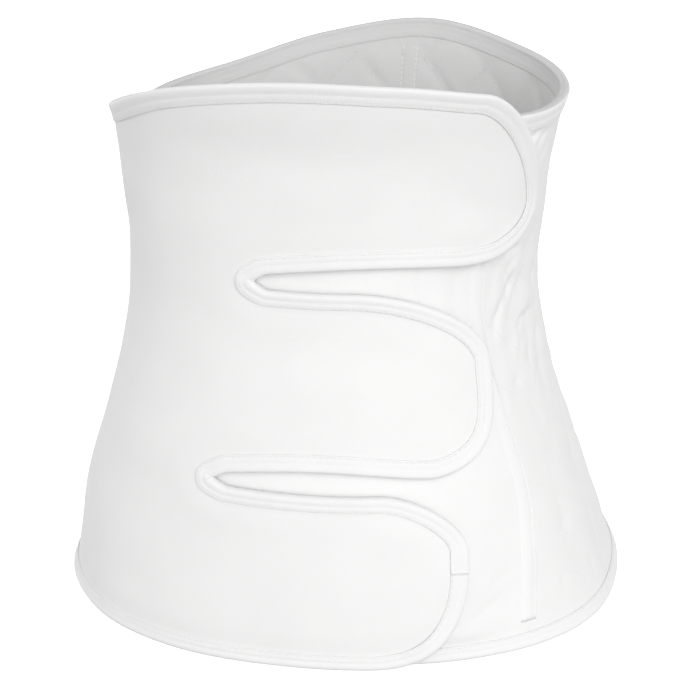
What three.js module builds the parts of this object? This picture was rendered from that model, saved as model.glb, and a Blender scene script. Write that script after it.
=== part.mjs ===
// Abdominal binder, closed as it is worn into an open hourglass tube.
// A padded back panel and a smooth underlap make the inner wall. The front panel joins the
// back panel at a side seam, laps over the underlap and ends in three round tabs.
// Millimetres. Z is up, the wearer's front faces -Y and the wearer's left is +X.
// A turn is an angle in degrees round the body: 0 is the front, 90 the wearer's left side,
// 180 the back. The body surface is the outer face of the back panel and the underlap.

import * as THREE from "three";

// Body
const HEIGHT = 290;
const HEM_HALF_WIDTH = 154.5;
const HEM_FRONT = 120.5;
const HEM_BACK = 168;
const SECTION_FULLNESS = 2.15;
const HEM_SWING_HEIGHT = 75;
const TOP_SWING_HEIGHT = 120;

// Cloth
const PADDED_WALL = 3;
const UNDERLAP_WALL = 2.4;
const FRONT_WALL = 2;
const TAPE_WALL = 1;
const TAPE_WIDTH = 10;
const CLOTH_GAP = 0.4;
const LAP_ROOM = 0.7;
const STAY_WALL = 1;
const STAY_WIDTH = 10;
const STAY_MARGIN = 4;
const STAY_ROOM = 0.7;
const HOOK_WIDTH = 40;
const HOOK_CORNER = 6;
const HOOK_MARGIN = 3;
const HOOK_ROOM = 0.8;

// Turns of the seams and ends
const SIDE_SEAM = -100;
const LAP_FULL = -42;
const UNDERLAP_END = -36;
const UNDERLAP_END_ROUND = 7;
const BACK_STAY_TURN = 170;
const FULL_TURN = 360;
const SEAM_GAP = 0.4;

// Colours
const WHITE = 0xf4f4f2;
const TAPE_WHITE = 0xefefed;

// Sections of the body surface: up is a share of HEIGHT, half of HEM_HALF_WIDTH,
// front of HEM_FRONT and back of HEM_BACK.
const SECTIONS = [
  { up: 0.00, half: 1.000, front: 1.000, back: 1.000 },
  { up: 0.07, half: 0.955, front: 1.008, back: 0.929 },
  { up: 0.18, half: 0.893, front: 1.008, back: 0.821 },
  { up: 0.32, half: 0.806, front: 0.975, back: 0.688 },
  { up: 0.46, half: 0.731, front: 0.913, back: 0.583 },
  { up: 0.60, half: 0.693, front: 0.859, back: 0.527 },
  { up: 0.75, half: 0.709, front: 0.847, back: 0.527 },
  { up: 0.90, half: 0.751, front: 0.859, back: 0.557 },
  { up: 1.00, half: 0.803, front: 0.909, back: 0.595 },
  { up: 1.10, half: 0.877, front: 0.967, back: 0.655 },
];

// How far the hem and the top swing out of the even section, as shares of its reach. The
// swings fade to none over HEM_SWING_HEIGHT and TOP_SWING_HEIGHT.
const SWING = [
  { turn: -160, hem: 0.000, top: 0.000 },
  { turn: -130, hem: -0.015, top: -0.015 },
  { turn: -105, hem: -0.038, top: -0.030 },
  { turn: -80, hem: -0.045, top: -0.028 },
  { turn: -60, hem: -0.033, top: -0.014 },
  { turn: -40, hem: 0.014, top: 0.000 },
  { turn: -20, hem: 0.042, top: 0.000 },
  { turn: 5, hem: 0.032, top: 0.000 },
  { turn: 30, hem: 0.010, top: 0.000 },
  { turn: 50, hem: 0.000, top: 0.000 },
];

// Top edges, as shares of HEIGHT
const FRONT_TOP = [
  { turn: -100, up: 0.890 },
  { turn: -60, up: 0.938 },
  { turn: -30, up: 1.012 },
  { turn: 0, up: 1.046 },
  { turn: 30, up: 1.042 },
  { turn: 50, up: 1.018 },
  { turn: 75, up: 0.979 },
];
const INNER_TOP = [
  { turn: -40, up: 0.969 },
  { turn: 20, up: 1.020 },
  { turn: 60, up: 0.963 },
  { turn: 95, up: 0.951 },
  { turn: 130, up: 0.971 },
  { turn: 165, up: 0.997 },
  { turn: 200, up: 0.960 },
  { turn: 230, up: 0.911 },
  { turn: 260, up: 0.890 },
];

// Seam between the underlap and the back panel, under the side stay
const STAY_LINE = [
  { up: 0.00, turn: 57.8 },
  { up: 0.16, turn: 60.6 },
  { up: 0.28, turn: 62.7 },
  { up: 0.42, turn: 60.0 },
  { up: 0.56, turn: 55.7 },
  { up: 0.70, turn: 55.0 },
  { up: 1.10, turn: 55.0 },
];

// Finished tabs, from the hem up. low and high are their edges and bow is the rise of the
// lower edge between its ends, as shares of HEIGHT. The top tab has no high, because it ends
// at the top edge. reach is the turn of the round end at widest, a share of the tab's height.
// Above it the end rounds off over the turn aboveRound and below it over belowRound, with
// aboveFull and belowFull as the rounding's fullness: 2 is an ellipse, more is squarer.
const TABS = [
  {
    name: "bottom", low: 0, bow: 0, high: 0.322, reach: 44.4, widest: 0.68,
    aboveRound: 18.7, aboveFull: 1.6, belowRound: 22.8, belowFull: 2.55,
  },
  {
    name: "middle", low: 0.344, bow: 0.020, high: 0.674, reach: 56.4, widest: 0.57,
    aboveRound: 36.3, aboveFull: 1.7, belowRound: 30.2, belowFull: 3.3,
  },
  {
    name: "top", low: 0.700, bow: 0.019, high: null, reach: 73.7, widest: 0.35,
    aboveRound: 23, aboveFull: 1.6, belowRound: 26.9, belowFull: 1.95,
  },
];

// Turns of the slits' round roots, from the hem up
const SLIT_ROOTS = [-14.8, -6.3];

// Creases pressed into the back panel: turn and up of the middle, the half length along the
// crease and its lean from upright in degrees, its half breadth, and its depth. length,
// breadth and depth are shares of PADDED_WALL.
const CREASES = [
  { turn: 65.5, up: 0.645, length: 5.5, lean: 38, breadth: 1.5, depth: 0.55 },
  { turn: 60.5, up: 0.580, length: 3.5, lean: 22, breadth: 1.3, depth: 0.40 },
  { turn: 70.5, up: 0.585, length: 4.0, lean: 40, breadth: 1.5, depth: 0.45 },
  { turn: 72.0, up: 0.905, length: 3.0, lean: 75, breadth: 1.2, depth: 0.35 },
];

// Finer points of form
const BOW_END = 0.6;
const CORNER_SQUARENESS = 8;
const MITRE_LIMIT = 0.7;

// Mesh steps
const BODY_COLUMNS = 11;
const TAB_COLUMNS = 12;
const TAB_ROW_LENGTH = 14.5;
const SLIT_ROWS = 4;
const BACK_COLUMNS = 32;
const INNER_ROWS = 16;
const UNDERLAP_COLUMNS = 16;
const HOOK_COLUMNS = 4;
const HOOK_ROWS = 8;
const STAY_ROWS = 16;
const OUTLINE_SAMPLES = 400;
const COLUMN_CROWDING = 1.3;

const radians = THREE.MathUtils.degToRad;
const lerp = THREE.MathUtils.lerp;
const clamp = THREE.MathUtils.clamp;
const EDGE = TAPE_WALL + CLOTH_GAP;
const LAP_FACE = Math.max(EDGE, STAY_WALL + CLOTH_GAP) + LAP_ROOM + EDGE + FRONT_WALL;

// Smooth curve through one column of a table
function along(table, key, column, at) {
  const last = table.length - 1;
  const slope = (i) => {
    const a = table[Math.max(i - 1, 0)];
    const b = table[Math.min(i + 1, last)];
    return (b[column] - a[column]) / (b[key] - a[key]);
  };
  const x = clamp(at, table[0][key], table[last][key]);
  let i = 0;
  while (i < last - 1 && x > table[i + 1][key]) i += 1;
  const span = table[i + 1][key] - table[i][key];
  const s = (x - table[i][key]) / span;
  const rise = table[i + 1][column] - table[i][column];
  const ease = s * s * (3 - 2 * s);
  const start = s * (1 - s) * (1 - s) * span * slope(i);
  const end = s * s * (s - 1) * span * slope(i + 1);
  return table[i][column] + rise * ease + start + end;
}

// A point at a turn and height, moved out of the body surface by off, level with the floor
function onBody(turn, z, off = 0) {
  const up = z / HEIGHT;
  const sin = Math.sin(radians(turn));
  const cos = Math.cos(radians(turn));
  const half = HEM_HALF_WIDTH * along(SECTIONS, "up", "half", up);
  const depth = cos > 0
    ? HEM_FRONT * along(SECTIONS, "up", "front", up)
    : HEM_BACK * along(SECTIONS, "up", "back", up);
  const n = SECTION_FULLNESS;
  const even = (Math.abs(sin / half) ** n + Math.abs(cos / depth) ** n) ** (-1 / n);
  const signed = turn > FULL_TURN / 2 ? turn - FULL_TURN : turn;
  const nearHem = 1 - THREE.MathUtils.smoothstep(z, 0, HEM_SWING_HEIGHT);
  const nearTop = THREE.MathUtils.smoothstep(z, HEIGHT - TOP_SWING_HEIGHT, HEIGHT);
  const hemSwing = nearHem * along(SWING, "turn", "hem", signed);
  const topSwing = nearTop * along(SWING, "turn", "top", signed);
  const reach = even * (1 + hemSwing + topSwing);
  const x = reach * sin;
  const y = -reach * cos;
  const nx = Math.sign(x) * Math.abs(x / half) ** (n - 1) / half;
  const ny = Math.sign(y) * Math.abs(y / depth) ** (n - 1) / depth;
  const size = Math.hypot(nx, ny);
  return new THREE.Vector3(x + off * nx / size, y + off * ny / size, z);
}

// Length of one degree of turn
function degreeLength(turn, z) {
  return onBody(turn - 0.5, z).distanceTo(onBody(turn + 0.5, z));
}

const frontTop = (turn) => HEIGHT * along(FRONT_TOP, "turn", "up", turn);
const innerTop = (turn) => HEIGHT * along(INNER_TOP, "turn", "up", turn);
const stayLine = (z) => along(STAY_LINE, "up", "turn", z / HEIGHT);

// How far the front panel has lifted off the body surface, from 0 at the side seam to 1
// where it lies over the underlap
const lapShare = (turn) => THREE.MathUtils.smoothstep(turn, SIDE_SEAM, LAP_FULL);

// How deep the creases press into the back panel at a point
function creaseDepth(turn, z) {
  let depth = 0;
  for (const crease of CREASES) {
    const right = (turn - crease.turn) * degreeLength(crease.turn, crease.up * HEIGHT);
    const rise = z - crease.up * HEIGHT;
    const lean = radians(crease.lean);
    const lengthways = rise * Math.cos(lean) + right * Math.sin(lean);
    const across = right * Math.cos(lean) - rise * Math.sin(lean);
    const fadeAlong = (lengthways / (crease.length * PADDED_WALL)) ** 2;
    const fadeAcross = (across / (crease.breadth * PADDED_WALL)) ** 2;
    depth += crease.depth * PADDED_WALL * Math.exp(-fadeAcross - fadeAlong);
  }
  return depth;
}

// How far the faces of each wall lie out of the body surface
const WALLS = {
  front: {
    outer: (turn) => LAP_FACE * lapShare(turn),
    inner: (turn) => lerp(-PADDED_WALL, LAP_FACE - FRONT_WALL, lapShare(turn)),
  },
  back: {
    outer: (turn, z) => -creaseDepth(turn, z),
    inner: (turn, z) => -creaseDepth(turn, z) - PADDED_WALL,
  },
  underlap: {
    outer: () => 0,
    inner: () => -UNDERLAP_WALL,
  },
};

// Adds a grid of points {turn, z} to a net, and can start on a column that the net has.
// Each cell is cut along its shorter diagonal.
function addGrid(net, columns, rows, place, firstColumn = null) {
  const grid = [];
  for (let i = 0; i <= columns; i += 1) {
    const column = [];
    for (let j = 0; j <= rows; j += 1) {
      if (i === 0 && firstColumn) {
        column.push(firstColumn[j]);
      } else {
        column.push(net.points.length);
        net.points.push(place(i / columns, j / rows, j));
      }
    }
    grid.push(column);
  }
  for (let i = 0; i < columns; i += 1) {
    for (let j = 0; j < rows; j += 1) {
      const [a, b, c, d] = [grid[i][j], grid[i + 1][j], grid[i + 1][j + 1], grid[i][j + 1]];
      const at = (k) => onBody(net.points[k].turn, net.points[k].z);
      if (at(a).distanceTo(at(c)) < at(b).distanceTo(at(d))) {
        net.triangles.push([a, b, c], [a, c, d]);
      } else {
        net.triangles.push([a, b, d], [b, c, d]);
      }
    }
  }
  return grid;
}

// Border of a net, as point numbers in order round it, starting at the given point
function border(net, start) {
  const used = new Set(net.triangles.flatMap(([a, b, c]) => [`${a},${b}`, `${b},${c}`, `${c},${a}`]));
  const next = new Map();
  for (const edge of used) {
    const [a, b] = edge.split(",").map(Number);
    if (!used.has(`${b},${a}`)) next.set(a, b);
  }
  const loop = [start];
  while (next.get(loop.at(-1)) !== start) loop.push(next.get(loop.at(-1)));
  return loop;
}

// A named mesh of one closed body
function solid(name, vertices, triangles, color) {
  const geometry = new THREE.BufferGeometry();
  const positions = vertices.flatMap((v) => [v.x, v.y, v.z]);
  geometry.setAttribute("position", new THREE.Float32BufferAttribute(positions, 3));
  geometry.setIndex(triangles.flat());
  geometry.computeVertexNormals();
  const material = new THREE.MeshStandardMaterial({ color, roughness: 0.9, metalness: 0 });
  const mesh = new THREE.Mesh(geometry, material);
  mesh.name = name;
  return mesh;
}

// A cloth wall: the net's outer face, its inner face and the cut edge between them
function clothWall(name, net, wall, color = WHITE) {
  const outer = net.points.map((p) => onBody(p.turn, p.z, wall.outer(p.turn, p.z)));
  const inner = net.points.map((p) => onBody(p.turn, p.z, wall.inner(p.turn, p.z)));
  const shift = outer.length;
  const triangles = net.triangles.flatMap(([a, b, c]) => [[a, b, c], [a + shift, c + shift, b + shift]]);
  const loop = border(net, net.triangles[0][0]);
  loop.forEach((a, i) => {
    const b = loop[(i + 1) % loop.length];
    triangles.push([a, a + shift, b + shift], [a, b + shift, b]);
  });
  return solid(name, [...outer, ...inner], triangles, color);
}

// Folded tape along a cut edge: path holds {turn, z, wall}, with the cloth on its left
function foldedTape(name, path) {
  const flat = path.map((p) => ({ ...p, degree: degreeLength(p.turn, p.z) }));
  const heading = (a, b) => {
    const x = (b.turn - a.turn) * (a.degree + b.degree) / 2;
    return new THREE.Vector2(x, b.z - a.z).normalize();
  };
  const vertices = [];
  flat.forEach((p, i) => {
    const before = heading(flat[Math.max(i - 1, 0)], flat[Math.max(i, 1)]);
    const after = heading(flat[Math.min(i, flat.length - 2)], flat[Math.min(i + 1, flat.length - 1)]);
    const mean = before.clone().add(after).normalize();
    const mitre = Math.max(mean.dot(before), MITRE_LIMIT);
    const into = new THREE.Vector2(-mean.y, mean.x).divideScalar(mitre);
    const outer = p.wall.outer(p.turn, p.z);
    const inner = p.wall.inner(p.turn, p.z);
    const section = [
      [TAPE_WIDTH - EDGE, outer + EDGE], [-EDGE, outer + EDGE],
      [-EDGE, inner - EDGE], [TAPE_WIDTH - EDGE, inner - EDGE],
      [TAPE_WIDTH - EDGE, inner - CLOTH_GAP], [-CLOTH_GAP, inner - CLOTH_GAP],
      [-CLOTH_GAP, outer + CLOTH_GAP], [TAPE_WIDTH - EDGE, outer + CLOTH_GAP],
    ];
    for (const [inward, off] of section) {
      vertices.push(onBody(p.turn + inward * into.x / p.degree, p.z + inward * into.y, off));
    }
  });
  const sides = vertices.length / flat.length;
  const triangles = [];
  for (let i = 0; i < flat.length - 1; i += 1) {
    for (let j = 0; j < sides; j += 1) {
      const [a, b] = [i * sides + j, i * sides + (j + 1) % sides];
      triangles.push([a, b, b + sides], [a, b + sides, a + sides]);
    }
  }
  const caps = [[0, 1, 6], [0, 6, 7], [1, 2, 5], [1, 5, 6], [2, 3, 4], [2, 4, 5]];
  const end = (flat.length - 1) * sides;
  for (const [a, b, c] of caps) {
    triangles.push([a, c, b], [end + a, end + b, end + c]);
  }
  return solid(name, vertices, triangles, TAPE_WHITE);
}

// Lower and upper edge of a tab, drawn in by inset from its finished outline
function tabLow(index, turn, inset) {
  const tab = TABS[index];
  const root = SLIT_ROOTS[index - 1] ?? SLIT_ROOTS[0];
  const bowEnd = tab.reach - BOW_END * tab.belowRound;
  const share = clamp((turn - root) / (bowEnd - root), 0, 1);
  return HEIGHT * (tab.low + tab.bow * Math.sin(Math.PI * share)) + inset;
}

function tabHigh(index, turn, inset) {
  const tab = TABS[index];
  return (tab.high === null ? frontTop(turn) : HEIGHT * tab.high) - inset;
}

// Turn at which a tab's round end lies, at a share of its height
function tabEnd(index, share, inset) {
  const tab = TABS[index];
  const above = share > tab.widest;
  const away = above ? (share - tab.widest) / (1 - tab.widest) : (tab.widest - share) / tab.widest;
  const full = above ? tab.aboveFull : tab.belowFull;
  const round = above ? tab.aboveRound : tab.belowRound;
  const z = tabLow(index, tab.reach, inset);
  const drop = round * (1 - (1 - Math.min(away, 1) ** full) ** (1 / full));
  return tab.reach - inset / degreeLength(tab.reach, z) - drop;
}

function tabPoint(index, share, turn, inset) {
  return { turn, z: lerp(tabLow(index, turn, inset), tabHigh(index, turn, inset), share) };
}

// Shares from 0 to 1 that crowd towards both ends
function roundShares(steps) {
  return Array.from({ length: steps + 1 }, (_, i) => (1 - Math.cos(Math.PI * i / steps)) / 2);
}

// Shares of a tab's height that cut its round end into pieces of one length
function evenShares(index) {
  const ends = roundShares(OUTLINE_SAMPLES).map((share) => {
    const { turn, z } = tabPoint(index, share, tabEnd(index, share, EDGE), EDGE);
    return { share, at: onBody(turn, z), length: 0 };
  });
  for (let i = 1; i < ends.length; i += 1) {
    ends[i].length = ends[i - 1].length + ends[i].at.distanceTo(ends[i - 1].at);
  }
  const rows = Math.round(ends.at(-1).length / TAB_ROW_LENGTH);
  return Array.from({ length: rows + 1 }, (_, j) => {
    const wanted = ends.at(-1).length * j / rows;
    const i = clamp(ends.findIndex((end) => end.length >= wanted), 1, OUTLINE_SAMPLES);
    const part = (wanted - ends[i - 1].length) / (ends[i].length - ends[i - 1].length);
    return lerp(ends[i - 1].share, ends[i].share, part);
  });
}

// Front panel: bands of rows from the hem up, tab, slit, tab, slit, tab. The body's columns
// end at the tabs' roots, and the slits end there in round roots.
function frontNet() {
  const net = { points: [], triangles: [] };
  const bands = TABS.flatMap((tab, index) => {
    const band = { tab: index, shares: evenShares(index) };
    return index === 0 ? [band] : [{ slit: index - 1, shares: roundShares(SLIT_ROWS) }, band];
  });
  const rows = bands.flatMap((band, b) => {
    return band.shares.slice(b === 0 ? 0 : 1).map((share) => ({ band, share }));
  });
  const rowZ = ({ band, share }, turn) => {
    if (band.tab !== undefined) return tabPoint(band.tab, share, turn, EDGE).z;
    return lerp(tabHigh(band.slit, turn, EDGE), tabLow(band.slit + 1, turn, EDGE), share);
  };
  const rowRoot = ({ band, share }) => {
    if (band.slit === undefined) {
      const lower = SLIT_ROOTS[Math.max(band.tab - 1, 0)];
      const upper = SLIT_ROOTS[Math.min(band.tab, SLIT_ROOTS.length - 1)];
      return lerp(lower, upper, share);
    }
    const root = SLIT_ROOTS[band.slit];
    const low = tabHigh(band.slit, root, EDGE);
    const radius = (tabLow(band.slit + 1, root, EDGE) - low) / 2;
    const bulge = Math.sqrt(Math.max(1 - (2 * share - 1) ** 2, 0));
    return root - radius * bulge / degreeLength(root, low);
  };
  const body = addGrid(net, BODY_COLUMNS, rows.length - 1, (u, v, j) => {
    const turn = lerp(SIDE_SEAM, rowRoot(rows[j]), u);
    return { turn, z: rowZ(rows[j], turn) };
  });
  let from = 0;
  for (const { tab, shares } of bands) {
    const count = shares.length - 1;
    if (tab !== undefined) {
      const rootColumn = body.at(-1).slice(from, from + count + 1);
      addGrid(net, TAB_COLUMNS, count, (u, v, j) => {
        const root = net.points[rootColumn[j]].turn;
        return tabPoint(tab, shares[j], lerp(root, tabEnd(tab, shares[j], EDGE), u), EDGE);
      }, rootColumn);
    }
    from += count;
  }
  return { net, seamFoot: body[0][0], seamHead: body[0].at(-1) };
}

// Hook patch inside a tab's round end, clear of the tapes and of the side stay
function hookNet(index) {
  const net = { points: [], triangles: [] };
  const tab = TABS[index];
  const inset = TAPE_WIDTH + HOOK_MARGIN;
  const middle = tabPoint(index, tab.widest, tab.reach, inset).z;
  const stay = stayLine(middle);
  const beforeStay = stay - (STAY_WIDTH / 2 + HOOK_MARGIN) / degreeLength(stay, middle);
  const last = Math.min(tabEnd(index, tab.widest, inset), beforeStay);
  const start = last - HOOK_WIDTH / degreeLength(last, middle);
  const corner = HOOK_CORNER / degreeLength(last, middle);
  const inside = roundShares(OUTLINE_SAMPLES).filter((share) => {
    return tabEnd(index, share, inset) > start + corner;
  });
  addGrid(net, HOOK_COLUMNS, HOOK_ROWS, (u, row) => {
    const v = lerp(inside[0], inside.at(-1), row);
    const end = Math.min(tabEnd(index, v, inset), last);
    const turn = lerp(start, end, u);
    const high = Math.min(tabHigh(index, turn, inset), innerTop(turn) - inset);
    return { turn, z: lerp(tabLow(index, turn, inset), high, v) };
  });
  return net;
}

// Back panel, from the seam under the side stay round the back to the side seam
function backNet() {
  const net = { points: [], triangles: [] };
  const grid = addGrid(net, BACK_COLUMNS, INNER_ROWS, (u, v) => {
    const z = lerp(EDGE, innerTop(stayLine(HEIGHT)) - EDGE, v);
    const first = stayLine(z) + SEAM_GAP / 2 / degreeLength(stayLine(z), z);
    const last = SIDE_SEAM + FULL_TURN - SEAM_GAP / degreeLength(SIDE_SEAM, z);
    const turn = lerp(first, last, u ** COLUMN_CROWDING);
    return { turn, z: lerp(EDGE, innerTop(turn) - EDGE, v) };
  });
  return { net, grid };
}

// Underlap, from its free end under the front panel to the seam under the side stay
function underlapNet() {
  const net = { points: [], triangles: [] };
  const grid = addGrid(net, UNDERLAP_COLUMNS, INNER_ROWS, (u, v) => {
    const z = lerp(EDGE, innerTop(stayLine(HEIGHT)) - EDGE, v);
    const corner = Math.sqrt(Math.max(1 - (2 * v - 1) ** CORNER_SQUARENESS, 0));
    const first = UNDERLAP_END + UNDERLAP_END_ROUND * (1 - corner);
    const last = stayLine(z) - SEAM_GAP / 2 / degreeLength(stayLine(z), z);
    const turn = lerp(first, last, u);
    return { turn, z: lerp(EDGE, innerTop(turn) - EDGE, v) };
  });
  return { net, grid };
}

// A narrow upright strip with a covered stay inside, centred on a line of turns
function stayStrip(name, centre, face) {
  const net = { points: [], triangles: [] };
  addGrid(net, 2, STAY_ROWS, (u, v) => {
    const end = TAPE_WIDTH + STAY_MARGIN;
    const z = lerp(end, innerTop(centre(HEIGHT)) - end, v);
    const turn = centre(z) + (u - 0.5) * STAY_WIDTH / degreeLength(centre(z), z);
    return { turn, z };
  });
  return clothWall(name, net, { outer: () => face + STAY_WALL, inner: () => face });
}

const binder = new THREE.Group();

const front = frontNet();
const back = backNet();
const underlap = underlapNet();
binder.add(clothWall("back_panel", back.net, WALLS.back));
binder.add(clothWall("underlap_panel", underlap.net, WALLS.underlap));
binder.add(clothWall("front_panel", front.net, WALLS.front));

// Front tape: the whole border but the side seam
const frontLoop = border(front.net, front.seamFoot);
const onWall = (net, wall) => (i) => ({ ...net.points[i], wall });
const frontPath = frontLoop.slice(0, frontLoop.indexOf(front.seamHead) + 1);
binder.add(foldedTape("front_binding", frontPath.map(onWall(front.net, WALLS.front))));

// Inner tape: along the top of the back panel and underlap, round the underlap's free end
// and back along the hem
const backHead = back.grid.map((column) => column.at(-1)).reverse();
const backFoot = back.grid.map((column) => column[0]);
const underlapHead = underlap.grid.map((column) => column.at(-1)).reverse();
const underlapEnd = underlap.grid[0].slice(1, -1).reverse();
const underlapFoot = underlap.grid.map((column) => column[0]);
binder.add(foldedTape("inner_binding", [
  ...backHead.map(onWall(back.net, WALLS.back)),
  ...[...underlapHead, ...underlapEnd, ...underlapFoot].map(onWall(underlap.net, WALLS.underlap)),
  ...backFoot.map(onWall(back.net, WALLS.back)),
]));

// Stays: one over the seam on the outside, one on the inside of the back
binder.add(stayStrip("side_stay", stayLine, CLOTH_GAP));
binder.add(stayStrip("back_stay", () => BACK_STAY_TURN, -PADDED_WALL - STAY_ROOM - STAY_WALL));

// Hook patches on the inside of the tab ends
const hookWall = {
  outer: (turn) => WALLS.front.inner(turn) - HOOK_ROOM,
  inner: () => HOOK_ROOM,
};
TABS.forEach((tab, index) => {
  binder.add(clothWall(`hook_patch_${tab.name}`, hookNet(index), hookWall));
});

// Stand the hem on the floor, centred on the origin
const bounds = new THREE.Box3().setFromObject(binder, true);
const centre = bounds.getCenter(new THREE.Vector3());
binder.position.set(-centre.x, -centre.y, -bounds.min.z);

export default binder;
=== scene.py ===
import functools
import itertools
import math

import bpy
import numpy as np
from mathutils import Matrix, Vector


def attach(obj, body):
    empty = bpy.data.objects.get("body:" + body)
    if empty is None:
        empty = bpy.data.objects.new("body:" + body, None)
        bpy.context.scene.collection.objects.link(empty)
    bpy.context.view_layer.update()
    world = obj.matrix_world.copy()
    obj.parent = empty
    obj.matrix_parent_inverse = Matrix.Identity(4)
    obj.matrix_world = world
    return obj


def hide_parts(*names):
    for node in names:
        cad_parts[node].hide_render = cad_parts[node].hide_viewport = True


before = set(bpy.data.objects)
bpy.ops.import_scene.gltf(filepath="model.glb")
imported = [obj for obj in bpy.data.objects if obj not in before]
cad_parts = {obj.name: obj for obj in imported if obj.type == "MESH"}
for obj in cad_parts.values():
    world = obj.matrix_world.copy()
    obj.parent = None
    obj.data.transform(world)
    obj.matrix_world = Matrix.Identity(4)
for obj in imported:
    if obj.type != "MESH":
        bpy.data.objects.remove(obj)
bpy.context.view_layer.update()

# Sizes, in millimetres
# The body surface, edges and tabs are those of the CAD model. A turn is an angle in degrees
# round the body: 0 is the front, 90 the wearer's left side, 180 the back.
HEIGHT = 290.0
HEM_HALF_WIDTH = 154.5
HEM_FRONT = 120.5
HEM_BACK = 168.0
SECTION_FULLNESS = 2.15
HEM_SWING_HEIGHT = 75.0
TOP_SWING_HEIGHT = 120.0
AXIS = np.array([-3.268, -18.567, 0.0])   # the body's axis in the row frame

PADDED_WALL = 3.0
UNDERLAP_WALL = 2.4
FRONT_WALL = 2.0
TAPE_WIDTH = 10.0
EDGE = 1.4            # the tape's outside, out from the cloth
LAP_FACE = 5.5        # the front panel's face over the underlap
STAY_WIDTH = 10.0
STAY_END = 14.0

SIDE_SEAM = -100.0
LAP_FULL = -42.0
UNDERLAP_END = -36.0
UNDERLAP_END_ROUND = 7.0
BACK_STAY_TURN = 170.0
UNDERLAP_PUSH = 1.2   # how far the body pushes the underlap out behind the tabs
PUSH_FADE = -16.0, -4.0   # turns from the stay between which that ends
SLIT_BULGE = 0.75     # how much further out the underlap stands in the slits
BULGE_REACH = 6.5     # how far above and below a slit's middle
BULGE_FADE = 26.0, 40.0   # turns between which the bulge ends
SEAM_GAP = 0.06       # between the sewn edges of two panels
BOW_END = 0.6         # where a tab's bowed lower edge ends, as a share of its rounding
CORNER_SQUARENESS = 8

# The underlap's own seam, seen in the upper slit. Lengths across it are shares of the underlap's.
UNDERLAP_SEAM_TURN = 36.5
UNDERLAP_SEAM_DEPTH = 0.5
UNDERLAP_SEAM_BREADTH = 0.0042
UNDERLAP_SEAM_RISE = 0.50 * HEIGHT, 0.58 * HEIGHT   # it fades in between these heights
SEAM_COLUMNS = np.array([-0.012, -0.008, -0.005, -0.002, 0.002, 0.005, 0.008, 0.012])

# up, half width, front, back
SECTIONS = [
    (0.00, 1.000, 1.000, 1.000), (0.07, 0.955, 1.008, 0.929), (0.18, 0.893, 1.008, 0.821),
    (0.32, 0.806, 0.975, 0.688), (0.46, 0.731, 0.913, 0.583), (0.60, 0.693, 0.859, 0.527),
    (0.75, 0.709, 0.847, 0.527), (0.90, 0.751, 0.859, 0.557), (1.00, 0.803, 0.909, 0.595),
    (1.10, 0.877, 0.967, 0.655),
]
# turn, hem, top: how far the hem and the top swing out of the even section
SWING = [(-160, 0.000, 0.000), (-130, -0.015, -0.015), (-105, -0.038, -0.030), (-80, -0.045, -0.028),
         (-60, -0.033, -0.014), (-40, 0.014, 0.000), (-20, 0.042, 0.000), (5, 0.032, 0.000),
         (30, 0.010, 0.000), (50, 0.000, 0.000)]
# turn, up
FRONT_TOP = [(-100, 0.890), (-60, 0.938), (-30, 1.012), (0, 1.046), (30, 1.042), (50, 1.018), (75, 0.979)]
INNER_TOP = [(-40, 0.969), (20, 1.020), (60, 0.963), (95, 0.951), (130, 0.971), (165, 0.997),
             (200, 0.960), (230, 0.911), (260, 0.890)]
# up, turn
STAY_LINE = [(0.00, 57.8), (0.16, 60.6), (0.28, 62.7), (0.42, 60.0), (0.56, 55.7), (0.70, 55.0),
             (1.10, 55.0)]

# low, bow, high, reach, widest, above round, above full, below round, below full
TABS = [
    (0.000, 0.000, 0.322, 44.4, 0.68, 18.7, 1.6, 22.8, 2.55),
    (0.344, 0.020, 0.674, 56.4, 0.57, 36.3, 1.7, 30.2, 3.30),
    (0.700, 0.019, None, 73.7, 0.35, 23.0, 1.6, 26.9, 1.95),
]
SLIT_ROOTS = [-14.8, -6.3]
SLIT_POINT = 8.5      # length of a slit's pointed end
SLIT_SHARPNESS = 1.3  # 1 is a plain point, 2 a rounded one
SLIT_ROWS = 12        # rows of the net across it

# Creases: turn, height, half length, lean from upright in degrees, half breadth, depth
CREASES = [
    (69.6, 183, 7, 46, 3.2, 2.3),
    (62.6, 171, 7, 18, 2.6, 1.2),
    (79, 161.8, 9.5, 78, 3, 1.45),
    (72, 262.5, 9, 75, 3, 1.05),
]
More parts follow.
